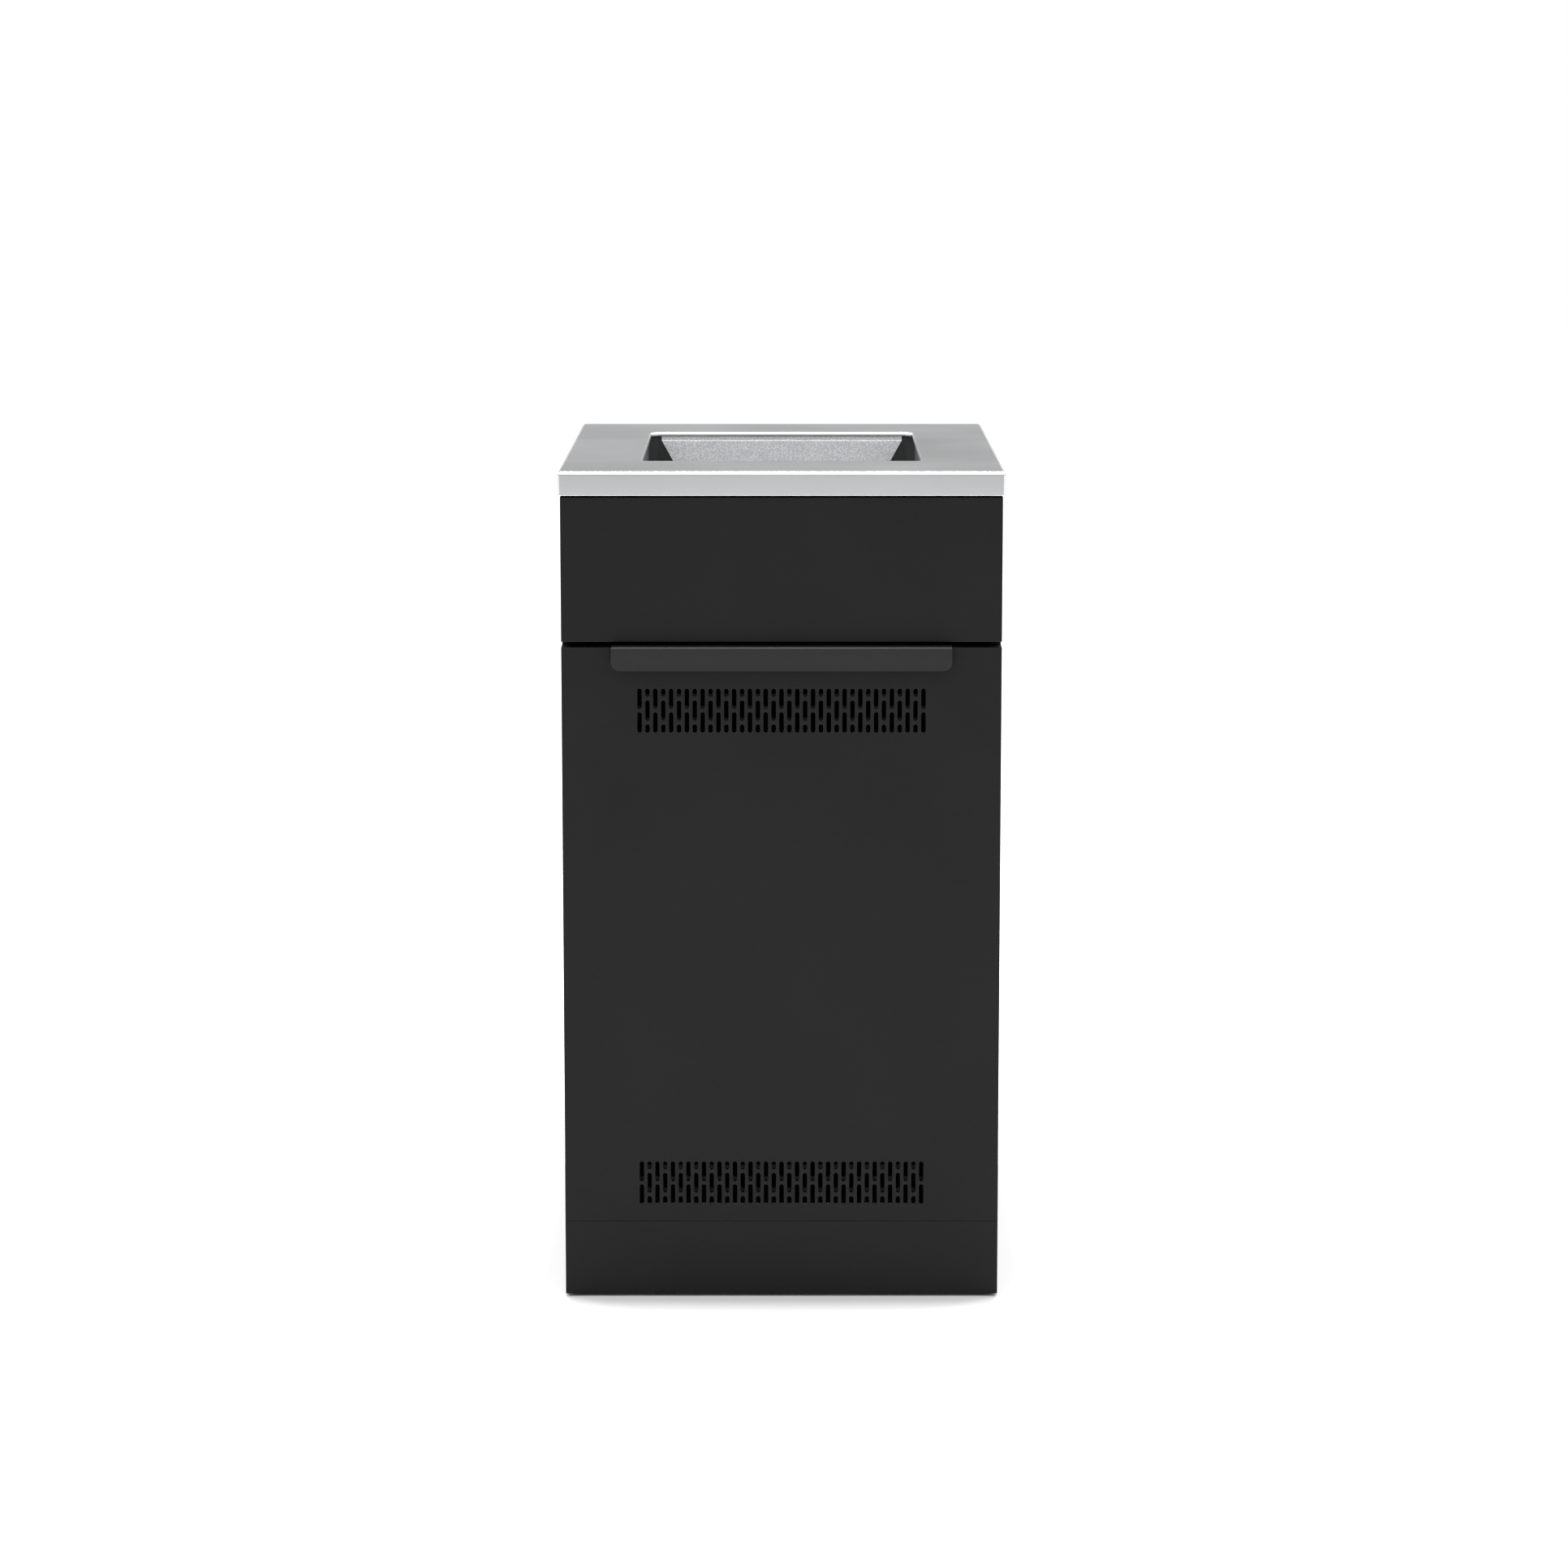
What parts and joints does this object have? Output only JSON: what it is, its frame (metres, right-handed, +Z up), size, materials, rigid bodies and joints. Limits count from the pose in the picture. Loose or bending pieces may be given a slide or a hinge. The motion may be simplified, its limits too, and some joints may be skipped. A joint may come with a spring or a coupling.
{
  "type": "trash compactor",
  "caption": "Free-standing top-fed waste compactor: black cabinet with a steel worktop and feed chute, a pull-out waste drawer, and a screw-driven ram with two drop flaps.",
  "frame": {"origin": "on the floor, under the middle of the whole object's footprint", "axes": "+Z up, the front with the drawer faces -Y, +X to the right seen from the front"},
  "size_m": [0.462, 0.62, 0.876],
  "materials": {
    "black_paint": "satin black powder coat",
    "handle_paint": "satin dark grey powder coat",
    "brushed_top": "stainless steel brushed along the width",
    "stainless_plate": "fine-grained stainless sheet",
    "flap_stainless": "stainless plate",
    "dark_liner": "dark grey coated sheet",
    "galvanised": "zinc-coated sheet",
    "foot_plastic": "moulded",
    "screw_steel": "zinc plated",
    "box_plastic": "moulded",
    "inlet_plastic": "moulded",
    "pin_brass": "plated",
    "rocker_plastic": "moulded",
    "fan_plastic": "moulded",
    "guard_chrome": "plated wire",
    "slide_zinc": "bright zinc",
    "seal_rubber": "extruded",
    "filter_felt": "carbon felt",
    "magnet_steel": "coated",
    "bin_plastic": "moulded, fine grain",
    "ring_plastic": "moulded",
    "plate_steel": "grey coated plate",
    "bright_steel": "ground",
    "gearbox_aluminium": "die cast",
    "motor_steel": "painted can",
    "capacitor_aluminium": "drawn can",
    "pulley_aluminium": "machined",
    "belt_rubber": "toothed belt",
    "ram_paint": "grey coated plate",
    "nut_brass": "machined",
    "bush_plastic": "filled bearing plastic"
  },
  "bodies": {
    "cabinet": {"countertop": "brushed_top", "fascia": "black_paint", "plinth": "black_paint", "left_side_panel": "black_paint", "right_side_panel": "black_paint", "back_panel": "black_paint", "base_pan": "galvanised", "front_cross_rail": "galvanised", "levelling_feet": "foot_plastic", "chute_liner": "dark_liner", "deflector_plate": "stainless_plate", "access_cover": "black_paint", "panel_screws": "screw_steel", "control_box": "box_plastic", "power_inlet": "inlet_plastic", "inlet_pins": "pin_brass", "switch_bezel": "inlet_plastic", "drawer_sensor": "box_plastic", "fan_housing": "fan_plastic", "fan_guard": "guard_chrome", "slide_outer_left": "slide_zinc", "slide_outer_right": "slide_zinc", "upper_bearing_plate": "plate_steel", "lower_bearing_plate": "plate_steel", "screw_bearings": "bright_steel", "guide_rods": "bright_steel", "gearbox": "gearbox_aluminium", "motor": "motor_steel", "motor_capacitor": "capacitor_aluminium", "drive_belt_left": "belt_rubber", "drive_belt_right": "belt_rubber"},
    "drawer": {"drawer_front": "black_paint", "drawer_back_plate": "black_paint", "drawer_handle": "handle_paint", "drawer_seal": "seal_rubber", "upper_filter": "filter_felt", "lower_filter": "filter_felt", "sensor_magnet": "magnet_steel", "drawer_tray": "galvanised", "waste_bin": "bin_plastic", "bag_ring": "ring_plastic", "slide_inner_left": "slide_zinc", "slide_inner_right": "slide_zinc"},
    "middle_slide_left": {"slide_middle_left": "slide_zinc"},
    "middle_slide_right": {"slide_middle_right": "slide_zinc"},
    "ram": {"ram_frame": "ram_paint", "ram_carriage": "plate_steel", "screw_nuts": "nut_brass", "guide_bushes": "bush_plastic", "flap_pins": "bright_steel"},
    "left_flap": {"flap_left": "flap_stainless"},
    "right_flap": {"flap_right": "flap_stainless"},
    "left_screw": {"screw_left": "bright_steel", "pulley_left": "pulley_aluminium"},
    "right_screw": {"screw_right": "bright_steel", "pulley_right": "pulley_aluminium"},
    "drive": {"output_shaft": "bright_steel", "drive_pulley": "pulley_aluminium"},
    "fan": {"fan_rotor": "fan_plastic"},
    "rocker": {"power_rocker": "rocker_plastic"}
  },
  "joints": [
    {"name": "drawer_slide", "type": "slide", "parent": "cabinet", "child": "drawer", "axis": [0, -1, 0], "range_m": [0, 0.42]},
    {"name": "middle_slide_left", "type": "slide", "parent": "cabinet", "child": "middle_slide_left", "axis": [0, -1, 0], "range_m": [0, 0.21]},
    {"name": "middle_slide_right", "type": "slide", "parent": "cabinet", "child": "middle_slide_right", "axis": [0, -1, 0], "range_m": [0, 0.21]},
    {"name": "ram_lift", "type": "slide", "parent": "cabinet", "child": "ram", "axis": [0, 0, 1], "range_m": [-0.21, 0]},
    {"name": "left_screw_turn", "type": "hinge", "parent": "cabinet", "child": "left_screw", "pos_m": [-0.12, 0.2545, 0.54], "axis": [0, 0, 1], "range_deg": [-7570, 10]},
    {"name": "right_screw_turn", "type": "hinge", "parent": "cabinet", "child": "right_screw", "pos_m": [0.12, 0.2545, 0.54], "axis": [0, 0, 1], "range_deg": [-7570, 10]},
    {"name": "drive_turn", "type": "hinge", "parent": "cabinet", "child": "drive", "pos_m": [0, 0.2545, 0.54], "axis": [0, 0, 1], "range_deg": [-7570, 10]},
    {"name": "left_flap_hinge", "type": "hinge", "parent": "ram", "child": "left_flap", "pos_m": [-0.147, 0.0055, 0.631], "axis": [0, 1, 0], "range_deg": [0, 78], "stiffness_Nm_per_rad": 1, "springref_deg": -91.67},
    {"name": "right_flap_hinge", "type": "hinge", "parent": "ram", "child": "right_flap", "pos_m": [0.147, 0.0055, 0.631], "axis": [0, -1, 0], "range_deg": [0, 78], "stiffness_Nm_per_rad": 1, "springref_deg": -91.67},
    {"name": "fan_spin", "type": "hinge", "parent": "cabinet", "child": "fan", "pos_m": [0.12, 0.2885, 0.25], "axis": [0, 1, 0], "continuous": true},
    {"name": "power_rocker_tilt", "type": "hinge", "parent": "cabinet", "child": "rocker", "pos_m": [-0.15, 0.301, 0.172], "axis": [-1, 0, 0], "range_deg": [0, 16]}
  ],
  "couplings": [
    {"joint": "middle_slide_left", "follows": "drawer_slide", "ratio": 0.5},
    {"joint": "middle_slide_right", "follows": "drawer_slide", "ratio": 0.5},
    {"joint": "left_screw_turn", "follows": "ram_lift", "rad_per_m": 628.32},
    {"joint": "right_screw_turn", "follows": "ram_lift", "rad_per_m": 628.32},
    {"joint": "drive_turn", "follows": "ram_lift", "rad_per_m": 628.32}
  ]
}
